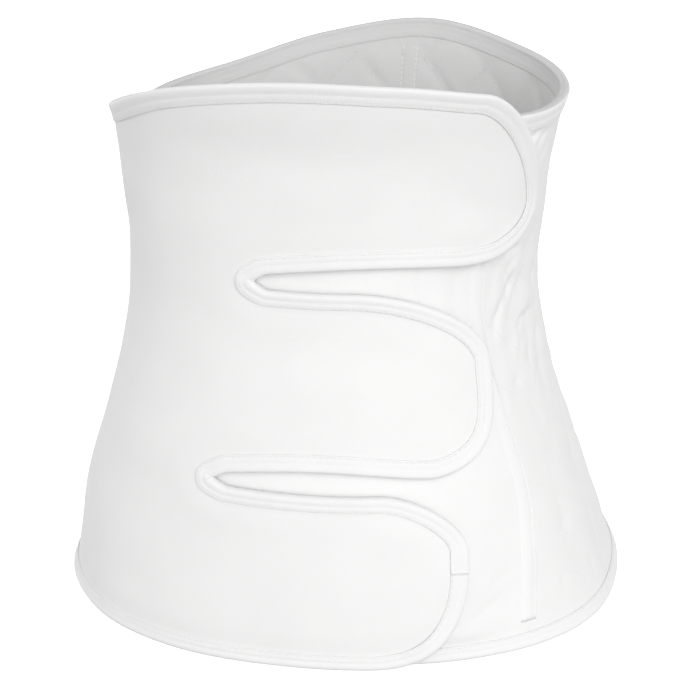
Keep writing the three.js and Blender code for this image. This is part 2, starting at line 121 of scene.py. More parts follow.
# The same, for the finer dents and wrinkles that only the looks need
DENTS = [
    (69, 202.8, 8, 82, 2.4, 2.3),
    (70, 198.6, 9, 80, 5, 0.8),
    (60.5, 203.4, 6, 76, 2.2, 1.1),
    (70, 187, 4.5, 40, 1.5, 1),
    (73, 177.5, 9, 44, 5.5, 1.6),
    (65, 176.5, 5, 30, 1.3, 1),
    (63, 178, 7, 12, 3.5, -0.6),
    (72.5, 174.5, 7, 42, 3.4, -0.7),
    (75.6, 162, 5, 60, 1.6, 1.5),
    (80, 156, 9, 74, 5, 1.2),
    (86.5, 181, 5.5, 20, 4.2, 1.5),
    (80, 171, 7, 50, 4, -0.6),
    (87.5, 147, 8, 38, 5, 1.6),
    (78.5, 143, 5.5, 8, 1.6, 0.9),
    (75, 147, 6, 5, 2.2, -0.6),
    (71.5, 152, 7, 12, 3, -0.7),
    (69.5, 133, 3.4, 80, 3, 0.9),
    (64, 158, 9, 5, 4, -0.6),
    (61, 190, 7, 10, 2.6, 0.6),
    (86, 130, 10, 24, 6.5, 1.2),
    (75, 118, 8, -5, 5, 0.5),
    (70, 196, 7, 60, 3, 0.6),
    (78, 200, 9, 50, 4, 0.7),
    (66, 265.5, 4.5, 84, 1.5, 1.4),
    (73, 263, 6, 72, 1.6, 1.5),
    (69, 259, 5.5, 88, 1.6, 1.2),
    (78, 259.5, 6, 64, 2, 1.2),
    (81.5, 252.5, 6, 50, 2.4, 0.7),
    (70.5, 26, 5, 20, 3.5, 0.6),
    (83.5, 22, 6, 0, 3.5, 0.6),
    (75, 52, 9, 10, 6, 0.5),
    (92, 75, 12, 15, 7, 0.6),
    (80, 98, 10, -10, 6, 0.4),
    (104, 110, 14, 20, 7, 0.6),
    (118, 60, 16, -15, 8, 0.6),
    (126, 150, 13, 35, 6, 0.8),
    (141, 95, 15, 25, 8, 0.6),
    (196, 140, 13, -30, 6.5, 0.7),
    (221, 150, 12, 40, 6, 0.8),
    (238, 168, 11, -35, 5.5, 0.7),
]
UNDERLAP_DENTS = [
    (47.2, 187, 18, 6, 3.6, 0.55),
    (44, 176, 9, 66, 3.4, 0.4),
    (50, 28, 15, 62, 2.8, 0.85),
    (52, 39, 12, 60, 2.6, 0.65),
    (54, 27, 9, 66, 2.4, 0.6),
    (49.5, 50, 10, 30, 4, 0.3),
]
# Where a tab's corner stands off the body, as negative dents
FRONT_LIFTS = [
    (64, 213, 18, 62, 10, -2.1),
    (37, 7, 16, 62, 8, -1.8),
]
FRONT_DENTS = [
    (-64, 205, 30, 60, 11, 0.9),
    (-50, 150, 34, 20, 12, 1),
    (-30, 95, 20, 60, 10, 0.5),
    (-30, 45, 40, 52, 15, 1.3),
    (-62, 70, 30, 15, 12, 0.8),
    (2, 240, 34, 72, 15, -0.8),
    (50, 235, 26, -50, 11, 0.8),
    (14, 150, 34, 76, 15, -0.8),
    (12, 60, 26, 60, 11, -0.5),
]
PATCH_LINE_TURN = 23.0   # where the bottom tab's hook patch ends, seen as a faint line
TAPE_JOINT = (43.5, 51.0)

# Quilting: the diamonds' width and height, where one corner lies, and the lines' form
QUILT_WIDTH = 40.0
QUILT_HEIGHT = 44.0
QUILT_TURN = 189.0
QUILT_LEVEL = 268.0
QUILT_LINE = 3.4          # half breadth of a line's valley
QUILT_DEPTH = {"outside": 0.45, "inside": 0.62}
QUILT_CROWN = {"outside": 0.30, "inside": 0.30}
QUILT_SIDE_SHARE = 0.40   # the stretched side near the tabs shows less of it
QUILT_SIDE_TURNS = 85, 120
QUILT_END = 2.8           # how far below the tape its threads end
QUILT_SPACING = QUILT_WIDTH * QUILT_HEIGHT / math.hypot(QUILT_WIDTH, QUILT_HEIGHT)

# The sines of an irregular wave: height, rate, share of the seed, shift
WOBBLE = [(1.0, 1.0, 1.0, 0.0), (0.6, 1.73, 2.1, 1.3), (0.4, 2.91, 3.7, 0.4)]
CYCLE = 6.283
# Soft waves of the cloth: height, share of the length round, share of the height, wave length, seed
QUILT_DRIFT = [(0.9, 0.4, 1.0, 61.0, 1.0)]   # how far the quilting lines stray sideways
QUILT_UNEVEN = [(0.3, 1.0, 0.3, 47.0, 5.0), (0.3, -0.4, 1.0, 59.0, 6.0)]
BACK_WAVES = [(0.35, 0.5, 1.0, 71.0, 2.0), (0.28, 1.0, -0.6, 47.0, 8.0)]
BACK_BLOTCHES = [(0.16, 0.3, 1.0, 29.0, 3.0)], [(1.0, 1.0, -0.2, 37.0, 5.0)]   # one times the other
# The same, by the turn instead of the length
FRONT_WAVES = [(0.28, 0.35, 1.0, 93.0, 0.7)]
UNDERLAP_WAVES = [(0.14, 0.8, 1.0, 83.0, 4.0)]

# Distances from an edge or seam between which a relief fades in
TAPE_FADE = 8.5, 13.0
SEAM_FADE = 4.5, 9.0
DENT_TAPE_FADE = 7.5, 10.0
DENT_SEAM_FADE = 4.5, 7.5
UNDERLAP_FADE = 8.0, 12.0
BACK_STAY_FADE = 4.0, 8.5
FRONT_WAVE_FADE = 9.0, 30.0
# How much of the back's bends and of the underlap's waves their inner faces show
INNER_BEND, INNER_WAVE = 0.7, 0.5

# The front panel's padded look: height, where it fades in, and the groove beside the tape
FRONT_PUFF = 0.38
INNER_PUFF = 0.3          # how much of it the inner face shows
PUFF_FADE = 7.0, 19.0
TAPE_GROOVE, GROOVE_PLACE, GROOVE_BREADTH = 0.10, 8.6, 1.2
PATCH_STEP = 0.22         # the step that the bottom tab's hook patch shows on its face
PATCH_STEP_BREADTH = 0.7  # in degrees, to each side
PATCH_STEP_FADE = 8.0, 11.0
PATCH_STEP_TOP = 22, 10   # below the bottom tab's upper edge

METRES = 0.001


# The body surface
def curve(table, column=1):
    """Smooth curve through one column of a table whose first column is the key."""
    keys = np.array([row[0] for row in table], float)
    values = np.array([row[column] for row in table], float)
    before = np.maximum(np.arange(len(keys)) - 1, 0)
    after = np.minimum(np.arange(len(keys)) + 1, len(keys) - 1)
    slopes = (values[after] - values[before]) / (keys[after] - keys[before])

    def at(x):
        x = np.clip(x, keys[0], keys[-1])
        i = np.clip(np.searchsorted(keys, x, side="right") - 1, 0, len(keys) - 2)
        span = keys[i + 1] - keys[i]
        s = (x - keys[i]) / span
        ease = s * s * (3 - 2 * s)
        start = s * (1 - s) ** 2 * span * slopes[i]
        end = s * s * (s - 1) * span * slopes[i + 1]
        return values[i] + (values[i + 1] - values[i]) * ease + start + end

    return at


half_at, front_at, back_at = (curve(SECTIONS, k) for k in (1, 2, 3))
hem_swing_at, top_swing_at = (curve(SWING, k) for k in (1, 2))
front_top_at, inner_top_at, stay_at = curve(FRONT_TOP), curve(INNER_TOP), curve(STAY_LINE)


def on_body(turn, z, off=0.0):
    """Points of the body surface, moved out by off, level with the floor."""
    turn, z, off = np.broadcast_arrays(np.asarray(turn, float), np.asarray(z, float), np.asarray(off, float))
    sin, cos = np.sin(np.radians(turn)), np.cos(np.radians(turn))
    half = HEM_HALF_WIDTH * half_at(z / HEIGHT)
    depth = np.where(cos > 0, HEM_FRONT * front_at(z / HEIGHT), HEM_BACK * back_at(z / HEIGHT))
    n = SECTION_FULLNESS
    even = (np.abs(sin / half) ** n + np.abs(cos / depth) ** n) ** (-1 / n)
    signed = np.where(turn > 180, turn - 360, turn)
    near_hem = 1 - smooth(z, 0, HEM_SWING_HEIGHT)
    near_top = smooth(z, HEIGHT - TOP_SWING_HEIGHT, HEIGHT)
    reach = even * (1 + near_hem * hem_swing_at(signed) + near_top * top_swing_at(signed))
    x, y = reach * sin, -reach * cos
    nx = np.sign(x) * np.abs(x / half) ** (n - 1) / half
    ny = np.sign(y) * np.abs(y / depth) ** (n - 1) / depth
    size = np.hypot(nx, ny)
    return np.stack([x + off * nx / size, y + off * ny / size, z], -1)


def degree_length(turn, z):
    return np.linalg.norm(on_body(turn - 0.5, z) - on_body(turn + 0.5, z), axis=-1)


def front_top(turn):
    return HEIGHT * front_top_at(turn)


def inner_top(turn):
    return HEIGHT * inner_top_at(turn)


def stay_line(z):
    return stay_at(np.asarray(z, float) / HEIGHT)


def smooth(x, low, high):
    s = np.clip((np.asarray(x, float) - low) / (high - low), 0, 1)
    return s * s * (3 - 2 * s)


def wobble(x, wave, seed):
    """A soft irregular wave between about -1 and 1, the same each run."""
    x = np.asarray(x, float) / wave
    sines = [height * np.sin(CYCLE * rate * x + share * seed + shift)
             for height, rate, share, shift in WOBBLE]
    return sum(sines) / sum(row[0] for row in WOBBLE)


def waves(across, up, table):
    """A sum of soft waves, each by its own shares of across and up."""
    return sum(height * wobble(a * across + b * up, wave, seed) for height, a, b, wave, seed in table)


class ArcMap:
    """Lengths round the body from a turn, at each height, and back again."""

    TURNS = -110.0, 271.0
    LEVELS = -6.0, 320.0
    LEVEL_STEP = 4.0

    def __init__(self, zero):
        self.turns = np.arange(*self.TURNS)
        self.levels = np.arange(*self.LEVELS, self.LEVEL_STEP)
        points = on_body(self.turns[None, :], self.levels[:, None])
        steps = np.linalg.norm(np.diff(points, axis=1), axis=-1)
        lengths = np.concatenate([np.zeros((len(self.levels), 1)), np.cumsum(steps, axis=1)], axis=1)
        at_zero = np.array([np.interp(zero, self.turns, row) for row in lengths])
        self.lengths = lengths - at_zero[:, None]

    def row(self, z):
        """Place of a height among the levels, between two of them."""
        place = (np.asarray(z, float) - self.levels[0]) / self.LEVEL_STEP
        return np.clip(place, 0, len(self.levels) - 1.001)

    def length(self, turn, z):
        turn, z = np.broadcast_arrays(np.asarray(turn, float), np.asarray(z, float))
        f = self.row(z)
        g = np.clip(turn - self.turns[0], 0, len(self.turns) - 1.001)
        i, j = f.astype(int), g.astype(int)
        a, b = f - i, g - j
        t = self.lengths
        return (t[i, j] * (1 - a) * (1 - b) + t[i + 1, j] * a * (1 - b)
                + t[i, j + 1] * (1 - a) * b + t[i + 1, j + 1] * a * b)

    def turn(self, length, z):
        """One turn for each pair of length and height."""
        f = self.row(z)
        i = f.astype(int)
        a = f - i
        rows = self.lengths[i] * (1 - a)[:, None] + self.lengths[i + 1] * a[:, None]
        return np.array([np.interp(s, row, self.turns) for s, row in zip(np.asarray(length, float), rows)])


ARC = ArcMap(QUILT_TURN)


# Relief of the walls
def pressed(marks, turn, z):
    """How deep a table of creases presses in."""
    depth = np.zeros(np.broadcast(turn, z).shape)
    for at, level, length, lean, breadth, deep in marks:
        right = (turn - at) * degree_length(at, level)
        rise = z - level
        a = math.radians(lean)
        along = rise * math.cos(a) + right * math.sin(a)
        across = right * math.cos(a) - rise * math.sin(a)
        depth = depth + deep * np.exp(-(across / breadth) ** 2 - (along / length) ** 2)
    return depth


def quilt_lines(turn, z):
    """Distances to the nearest quilting line of each family."""
    s = ARC.length(turn, z)
    run, rise = (s + waves(s, z, QUILT_DRIFT)) / QUILT_WIDTH, (z - QUILT_LEVEL) / QUILT_HEIGHT
    return [np.abs((p + 0.5) % 1.0 - 0.5) * QUILT_SPACING for p in (run + rise, run - rise)]


def quilt_relief(turn, z, face):
    """Height of the quilting over the flat wall: low in the lines, crowned between them."""
    a, b = quilt_lines(turn, z)
    uneven = 1 + waves(ARC.length(turn, z), z, QUILT_UNEVEN)
    valley = 1 - (1 - np.exp(-(a / QUILT_LINE) ** 2)) * (1 - np.exp(-(b / QUILT_LINE) ** 2))
    crown = np.sin(np.pi * a / QUILT_SPACING) * np.sin(np.pi * b / QUILT_SPACING)
    strength = 1
    if face == "outside":
        strength = QUILT_SIDE_SHARE + (1 - QUILT_SIDE_SHARE) * smooth(turn, *QUILT_SIDE_TURNS)
    return (QUILT_CROWN[face] * crown - QUILT_DEPTH[face] * valley) * uneven * strength


def lap_share(turn):
    return smooth(turn, SIDE_SEAM, LAP_FULL)


def front_outer(turn, z):
    return LAP_FACE * lap_share(turn) - pressed(FRONT_LIFTS, turn, z)


def front_inner(turn, z):
    lap = lap_share(turn)
    return -PADDED_WALL * (1 - lap) + (LAP_FACE - FRONT_WALL) * lap - pressed(FRONT_LIFTS, turn, z)


def back_outer(turn, z):
    return -pressed(CREASES, turn, z)


def back_inner(turn, z):
    return back_outer(turn, z) - PADDED_WALL


# Outlines of the tabs
def tab_low(i, turn, inset):
    low, bow, _, reach, _, _, _, below, _ = TABS[i]
    root = SLIT_ROOTS[max(i - 1, 0)]
    share = np.clip((turn - root) / (reach - BOW_END * below - root), 0, 1)
    return HEIGHT * (low + bow * np.sin(np.pi * share)) + inset


def tab_high(i, turn, inset):
    high = TABS[i][2]
    return (front_top(turn) if high is None else HEIGHT * high + 0 * turn) - inset


def tab_end(i, share, inset):
    _, _, _, reach, widest, above, above_full, below, below_full = TABS[i]
    upper = share > widest
    away = np.where(upper, (share - widest) / (1 - widest), (widest - share) / widest)
    full = np.where(upper, above_full, below_full)
    rounding = np.where(upper, above, below)
    z = tab_low(i, np.array(reach), inset)
    drop = rounding * (1 - np.maximum(1 - np.minimum(away, 1) ** full, 0) ** (1 / full))
    return reach - inset / degree_length(reach, z) - drop


def tab_z(i, share, turn, inset):
    low, high = tab_low(i, turn, inset), tab_high(i, turn, inset)
    return low + (high - low) * share


END_STEPS = 400        # steps in which a tab's round end is measured


def round_shares(steps):
    return (1 - np.cos(np.pi * np.arange(steps + 1) / steps)) / 2


def even_shares(i, step):
    """Shares of a tab's height that cut its round end into pieces of one length."""
    share = round_shares(END_STEPS)
    turn = tab_end(i, share, EDGE)
    points = on_body(turn, tab_z(i, share, turn, EDGE))
    length = np.concatenate([[0], np.cumsum(np.linalg.norm(np.diff(points, axis=0), axis=1))])
    rows = max(int(round(length[-1] / step)), 4)
    return np.interp(length[-1] * np.arange(rows + 1) / rows, length, share)


# Nets of the walls
SIDE_SAMPLE, TAB_SAMPLE = -60.0, 20.0   # turns where the front panel's columns are counted
BACK_CROWDING = 1.15   # above 1, the back's columns lie closer together near the side stay
FRONT_STEP, FRONT_TAPE_STEP, INNER_TAPE_STEP = 2.2, 2.0, 2.2
BACK_COLUMNS, BACK_ROWS = 216, 176
UNDERLAP_COLUMNS, UNDERLAP_ROWS = 90, 120


class Net:
    """Points by turn and height, joined by four-sided faces."""

    def __init__(self):
        self.turn, self.z, self.quads = [], [], []

    def add(self, turns, levels, first=None):
        """Adds a grid of columns and rows; its first column can be one that is there."""
        columns, rows = turns.shape
        ids = np.zeros((columns, rows), int)
        for i in range(columns):
            if i == 0 and first is not None:
                ids[i] = first
                continue
            ids[i] = len(self.turn) + np.arange(rows)
            self.turn.extend(turns[i])
            self.z.extend(levels[i])
        a, b = ids[:-1, :-1], ids[1:, :-1]
        c, d = ids[1:, 1:], ids[:-1, 1:]
        self.quads.extend(np.stack([a, b, c, d], -1).reshape(-1, 4).tolist())
        return ids

    def done(self):
        self.turn, self.z = np.array(self.turn), np.array(self.z)
        self.quads = np.array(self.quads)
        return self

    def border(self, start):
        q = self.quads
        edges = np.concatenate([q[:, [0, 1]], q[:, [1, 2]], q[:, [2, 3]], q[:, [3, 0]]])
        used = set(map(tuple, edges.tolist()))
        after = {a: b for a, b in used if (b, a) not in used}
        loop = [start]
        while after[loop[-1]] != start:
            loop.append(after[loop[-1]])
        return np.array(loop)


def slit_level(i):
    return HEIGHT * (TABS[i][2] + TABS[i + 1][0]) / 2


def slit_degrees(i, length):
    """Degrees that a length takes up at a slit's end."""
    return length / degree_length(SLIT_ROOTS[i], HEIGHT / 2)


def slit_mouth(i):
    """The turn where a slit's pointed end begins; its tip lies where the CAD's round root ends."""
    root = np.array(SLIT_ROOTS[i])
    radius = (tab_low(i + 1, root, EDGE) - tab_high(i, root, EDGE)) / 2
    return float(root + slit_degrees(i, SLIT_POINT - radius))


def front_net(step):
    """The front panel: first the side and the tabs' roots as one grid, then each tab."""
    net = Net()
    rows = []
    for i in range(len(TABS)):
        if i:
            rows += [("slit", i - 1, (k + 1) / SLIT_ROWS) for k in range(SLIT_ROWS)]
        shares = even_shares(i, step)
        rows += [("tab", i, s) for s in (shares if i == 0 else shares[1:])]
    count = int(round((SLIT_ROOTS[0] - SIDE_SEAM) * degree_length(SIDE_SAMPLE, HEIGHT / 3) / step))
    u = np.arange(count + 1) / count
    turns, levels = np.zeros((count + 1, len(rows))), np.zeros((count + 1, len(rows)))
    for j, (kind, i, share) in enumerate(rows):
        if kind == "tab":
            lower, upper = slit_mouth(max(i - 1, 0)), slit_mouth(min(i, len(SLIT_ROOTS) - 1))
            root = lower + (upper - lower) * share
        else:
            point = 1 - abs(2 * share - 1) ** SLIT_SHARPNESS
            root = slit_mouth(i) - slit_degrees(i, SLIT_POINT * point)
        turns[:, j] = SIDE_SEAM + (root - SIDE_SEAM) * u
        if kind == "tab":
            levels[:, j] = tab_z(i, share, turns[:, j], EDGE)
        else:
            low, high = tab_high(i, turns[:, j], EDGE), tab_low(i + 1, turns[:, j], EDGE)
            levels[:, j] = low + (high - low) * share
    body = net.add(turns, levels)
    for i in range(len(TABS)):
        own = [j for j, row in enumerate(rows) if row[:2] == ("tab", i)]
        own = own if i == 0 else [own[0] - 1] + own
        shares = np.array([0.0 if rows[j][0] == "slit" else rows[j][2] for j in own])
        roots = np.array([net.turn[k] for k in body[-1][own]])
        ends = tab_end(i, shares, EDGE)
        count = int(round((TABS[i][3] - SLIT_ROOTS[0]) * degree_length(TAB_SAMPLE, HEIGHT / 3) / step))
        v = (np.arange(count + 1) / count)[:, None]
        t = roots[None] + (ends - roots)[None] * v
        net.add(t, tab_z(i, shares[None], t, EDGE), first=body[-1][own])
    return net.done(), body[0][0], body[0][-1]


def shares_up(rows):
    """Shares of the height, and the heights themselves along the stay."""
    v = (np.arange(rows + 1) / rows)[None]
    return v, EDGE + (inner_top(stay_line(HEIGHT)) - 2 * EDGE) * v


def inner_net(first, last, u, v):
    """A net between two upright lines, from the hem to the inner top."""
    net = Net()
    turn = first + (last - first) * u
    ids = net.add(turn, EDGE + (inner_top(turn) - 2 * EDGE) * v)
    return net.done(), ids


def back_net(columns, rows):
    u = (np.arange(columns + 1) / columns)[:, None]
    v, z = shares_up(rows)
    first = stay_line(z) + SEAM_GAP / 2 / degree_length(stay_line(z), z)
    last = SIDE_SEAM + 360 - SEAM_GAP / degree_length(SIDE_SEAM, z)
    return inner_net(first, last, u ** BACK_CROWDING, v)


def underlap_net(columns, rows):
    """The underlap's net, and how far each of its points lies from its own seam."""
    v, z = shares_up(rows)
    seam = (UNDERLAP_SEAM_TURN - UNDERLAP_END) / (float(stay_line(HEIGHT)) - UNDERLAP_END)
    u = np.sort(np.append(np.arange(columns + 1) / columns, seam + SEAM_COLUMNS))
    corner = np.sqrt(np.maximum(1 - (2 * v - 1) ** CORNER_SQUARENESS, 0))
    first = UNDERLAP_END + UNDERLAP_END_ROUND * (1 - corner)
    last = stay_line(z) - SEAM_GAP / 2 / degree_length(stay_line(z), z)
    return *inner_net(first, last, u[:, None], v), np.repeat(u - seam, rows + 1)


# Making objects
def in_row_frame(points):
    return (np.asarray(points, float) + AXIS) * METRES


def placed(name, data):
    obj = bpy.data.objects.new(name, data)
    bpy.context.scene.collection.objects.link(obj)
    return obj


def new_object(name, points, faces, material, uv):
    """A smooth-shaded mesh that rides on the body; points are in millimetres, uv on the cloth."""
    mesh = bpy.data.meshes.new(name)
    mesh.from_pydata(in_row_frame(points).tolist(), [], [list(map(int, f)) for f in faces])
    mesh.polygons.foreach_set("use_smooth", np.ones(len(mesh.polygons), bool))
    layer = mesh.uv_layers.new(name="cloth")
    loops = np.zeros(len(mesh.loops), int)
    mesh.loops.foreach_get("vertex_index", loops)
    layer.data.foreach_set("uv", np.asarray(uv, float)[loops].ravel())
    mesh.materials.append(material)
    mesh.update()
    obj = placed(name, mesh)
    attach(obj, "root")
    return obj


def sharpen(obj, loops):
    """Keeps the corners of a cut edge crisp: the given loops of vertices are sharp."""
    mesh = obj.data
    pairs = {frozenset(map(int, pair)) for loop in loops for pair in zip(loop, np.roll(loop, -1))}
    sharp = [frozenset(edge.vertices) in pairs for edge in mesh.edges]
    mesh.attributes.new("sharp_edge", "BOOLEAN", "EDGE").data.foreach_set("value", sharp)
    mesh.update()


def use_inside(obj, material, inside):
    """Gives the faces marked as inside ones a material of their own: a darker copy of the cloth, painted
    shade for the inside of the binder.
    """
    obj.data.materials.append(material)
    obj.data.polygons.foreach_set("material_index", np.asarray(inside, np.int32))
    obj.data.update()


def shell(name, net, outer, inner, material, slot, start=0, lining=None):
    """A closed cloth wall: outer face, inner face and the cut edge between them."""
    n = len(net.turn)
    points = np.concatenate([on_body(net.turn, net.z, outer), on_body(net.turn, net.z, inner)])
    faces = [net.quads, (net.quads + n)[:, ::-1]]
    loop = net.border(start)
    after = np.roll(loop, -1)
    faces.append(np.stack([loop, loop + n, after + n, after], -1))
    uv = np.stack([ARC.length(net.turn, net.z), net.z], -1)
    uv = np.concatenate([uv, uv])
    obj = new_object(name, points, np.concatenate(faces), material, uv)
    sharpen(obj, [loop, loop + n])
    # The inner faces take the darker lining material: painted shade.
    if lining:
        use_inside(obj, lining, np.repeat([0, 1, 0], [len(f) for f in faces]))
    return obj


def swept(rings, flipped=False):
    """Points and faces of a section swept along steps, with its ends; rings holds [step, side]."""
    steps, sides = rings.shape[:2]
    i, j = np.meshgrid(np.arange(steps - 1), np.arange(sides), indexing="ij")
    a, b = i * sides + j, i * sides + (j + 1) % sides
    quads = np.stack([a, b, b + sides, a + sides], -1).reshape(-1, 4).tolist()
    last = (steps - 1) * sides
    faces = quads + [list(range(sides))[::-1], list(range(last, last + sides))]
    return rings.reshape(-1, 3), [face[::-1] for face in faces] if flipped else faces


SIZE_BAND = 10.0       # the width is measured in bands of this height


def cut_size(net):
    """Width and height of the flat piece that a net is cut from, and its area, in metres."""
    points = on_body(net.turn, net.z) * METRES
    a, b, c, d = (points[net.quads[:, k]] for k in range(4))
    area = np.linalg.norm(np.cross(c - a, d - b), axis=1).sum() / 2
    width, half = 0, SIZE_BAND / 2
    for level in np.arange(net.z.min() + half, net.z.max() - half, SIZE_BAND):
        row = net.turn[np.abs(net.z - level) < half]
        width = max(width, float(ARC.length(row.max(), level) - ARC.length(row.min(), level)))
    return (width * METRES, float(net.z.max() - net.z.min()) * METRES), float(area)


EDGE_CHUNK = 60        # edge points that are compared at a time


def edge_distance(net, loops):
    """Distance of each point of a net from its finished edges."""
    points = on_body(net.turn, net.z)
    best = np.full(len(points), np.inf)
    for ids in loops:
        for at in np.array_split(points[ids], max(len(ids) // EDGE_CHUNK, 1)):
            best = np.minimum(best, np.linalg.norm(points[:, None] - at[None], axis=-1).min(1))
    return best


# Folded tape: how far each point of its section lies in from the cloth's cut edge, which face
# of the cloth it goes by (1 outer, -1 inner, 0 between them) and how far out of that face
TAPE_FACE = [
    (8.60, 0.10), (8.62, 0.42), (8.42, 0.68), (8.10, 0.76), (7.65, 0.66), (7.20, 0.80), (6.40, 0.94),
    (5.40, 1.00), (4.55, 0.98), (4.10, 0.93), (3.60, 1.00), (2.80, 1.14), (1.70, 1.29), (0.60, 1.30),
    (-0.35, 1.10), (-1.00, 0.62),
]
CROSSING = 3.0          # degrees to each side of the stay in which the inner tape changes its wall
INNER_FACE_SHARE = 0.38   # how high the tape lies on the lining, against the outer face
TAPE_SECTION = ([(s, 1, h) for s, h in TAPE_FACE] + [(-1.32, 1, -0.45), (-1.40, 0, 0.0), (-1.32, -1, -0.45)]
                + [(s, -1, h * (INNER_FACE_SHARE if s > 0 else 1)) for s, h in reversed(TAPE_FACE)]
                + [(3.0, -1, 0.16), (-0.5, -1, 0.16), (-0.5, 1, 0.16), (3.0, 1, 0.16)])
TAPE_STITCH = 7.65
STITCH_RISE, LINING_STITCH_RISE = 0.72, 0.36
# Where the tape lies inside the binder, its fold takes the darker tape material too: painted shade.
TAPE_FOLD = -0.9       # from here on the section belongs to the fold over the cloth's edge
# How much narrower the tape shows along the hem, a slit's roof and a slit's floor
HEM_LOSS, ROOF_LOSS, FLOOR_LOSS = 0.20, 0.10, 0.26
LOSS_FADE = 8         # the change of width is spread over this length to each side
# The tape's unevenness: how full it is, and how far its middle shifts
TAPE_SWELL = [(0.07, 37.0), (0.05, 9.0)]   # height, wave length
TAPE_SHIFT, SHIFT_WAVE = 0.15, 21.0
SHIFTED = 3.2, 8.0     # the part of the section that shifts
TAPE_FURROW, FURROW_WAVE, FURROW_PLACE, FURROW_BREADTH = 0.10, 53.0, 4.1, 0.6
LIFTED = 0.2           # points of the section higher than this stand off the cloth
# Laps of the tape: height, and over what length it fades; below 0 it lies past the end
JOINT_LAP = 0.55, -22.0
MITRE_LAP = 0.45, 14.0
MITRE_SHIFT = 0.35    # how far past a slit's tip its lower tape laps over the upper one
TURNING_ROOM = 5.0    # extra length of path given to each radian of its turning
DENSE_STEPS = 3       # extra steps at a point that needs a crisp end


class Path:
    """An even, slightly smoothed line of turns and heights with the cloth on its left."""

    SMOOTHING_ROUNDS = 8
    SMOOTHING_STEP = 0.25   # as a share of the final step

    def __init__(self, turn, z, step, dense_at=None):
        self.resample(turn, z, on_body(turn, z), self.SMOOTHING_STEP * step)
        for line in (self.turn, self.z):
            for _ in range(self.SMOOTHING_ROUNDS):
                line[1:-1] = (line[:-2] + 2 * line[1:-1] + line[2:]) / 4
        self.directions()
        heading = np.unwrap(np.arctan2(self.into[:, 1], self.into[:, 0]))
        room = np.concatenate([[0], np.cumsum(np.abs(np.diff(heading)))]) * TURNING_ROOM
        if dense_at:
            past = self.length - self.nearest(*dense_at)
            room = room + DENSE_STEPS * step * smooth(past, -step / 4, step / 4)
        self.resample(self.turn, self.z, on_body(self.turn, self.z), step, room)
        self.directions()

    def resample(self, turn, z, points, step, room=0.0):
        """Points at even steps of the length, with some room added where the line turns."""
        length = np.concatenate([[0], np.cumsum(np.linalg.norm(np.diff(points, axis=0), axis=1))])
        measure = length + room
        count = int(round(measure[-1] / step))
        at = measure[-1] * np.arange(count + 1) / count
        self.length = np.interp(at, measure, length)
        self.turn = np.interp(at, measure, turn)
        self.z = np.interp(at, measure, z)

    def directions(self):
        self.degree = degree_length(self.turn, self.z)
        x = np.gradient(self.turn) * self.degree
        y = np.gradient(self.z)
        size = np.hypot(x, y)
        self.into = np.stack([-y / size, x / size], -1)

    def shares(self):
        """Share of the tape's width that shows at each point."""
        cloth_over = np.clip(self.into[:, 1], 0, 1)
        cloth_under = np.clip(-self.into[:, 1], 0, 1)
        loss = cloth_over * np.where(self.z < HEIGHT / 6, HEM_LOSS, ROOF_LOSS)
        loss += cloth_under * np.where(self.z < 0.8 * HEIGHT, FLOOR_LOSS, 0.0)
        even = np.arange(0.0, self.length[-1], 1.0)
        padded = np.pad(np.interp(even, self.length, loss), LOSS_FADE, mode="edge")
        window = 2 * LOSS_FADE + 1
        return 1 - np.interp(self.length, even, np.convolve(padded, np.ones(window) / window, "valid"))

    def shifted(self, inward):
        inward = np.where(np.asarray(inward) > 0, inward * self.shares(), inward)
        return self.turn + inward * self.into[:, 0] / self.degree, self.z + inward * self.into[:, 1]

    def nearest(self, turn, z):
        """Length along the path of the point nearest to a turn and height."""
        return self.length[np.argmin(np.hypot((self.turn - turn) * self.degree, self.z - z))]


def lap_rise(path, laps):
    """Rise of the tape where one length lies over the other: before an end, or past it if the
    run is below 0."""
    rise = np.zeros(len(path.length))
    for end, height, run in laps:
        back = (end - path.length) * np.sign(run)
        rise += np.where(back >= 0, height * (1 - smooth(back, 0.25 * abs(run), abs(run))), 0)
    return rise


def tape(name, path, wall, material, seed, laps=(), lining=None, painted_shade_run=None):
    """A folded tape swept along a path; wall gives the cloth's two faces at its points. Along the marked
    stretches, its inner side and its fold are of the lining's material: a darker copy of the tape, painted
    shade for the inside of the binder and its fold."""
    outer, inner = wall
    rings = []
    rise = lap_rise(path, laps)
    parts = [height * wobble(path.length, wave, seed + k) for k, (height, wave) in enumerate(TAPE_SWELL)]
    swell = 1 + sum(parts)
    furrow = TAPE_FURROW * (0.5 + 0.5 * wobble(path.length, FURROW_WAVE, seed + 2))
    shift = TAPE_SHIFT * wobble(path.length, SHIFT_WAVE, seed + 3)
    for s, face, h in TAPE_SECTION:
        lifted = h > LIFTED
        turn, z = path.shifted(s + shift * (SHIFTED[0] < s < SHIFTED[1]))
        lift = h * (swell if lifted else 1.0) - furrow * (abs(s - FURROW_PLACE) < FURROW_BREADTH)
        if face > 0:
            off = outer + np.minimum(lift, EDGE) + (rise if lifted else 0)
        elif face < 0:
            off = inner - np.minimum(lift, EDGE)
        else:
            off = (outer + inner) / 2
        rings.append(on_body(turn, z, off))
    points, faces = swept(np.stack(rings, 1))
    across = np.array([s if face >= 0 else 2 * TAPE_WIDTH - s for s, face, _ in TAPE_SECTION])
    uv = np.stack(np.broadcast_arrays(path.length[:, None], across[None]), -1).reshape(-1, 2)
    obj = new_object(name, points, faces, material, uv)
    if lining:
        # Painted shade: along the marked stretches, the inner side and the fold take the darker material.
        painted_shade_side = [face <= 0 or s < TAPE_FOLD for s, face, _ in TAPE_SECTION]
        use_inside(obj, lining, np.append(np.outer(painted_shade_run[1:], painted_shade_side), [False, False]))
    return obj


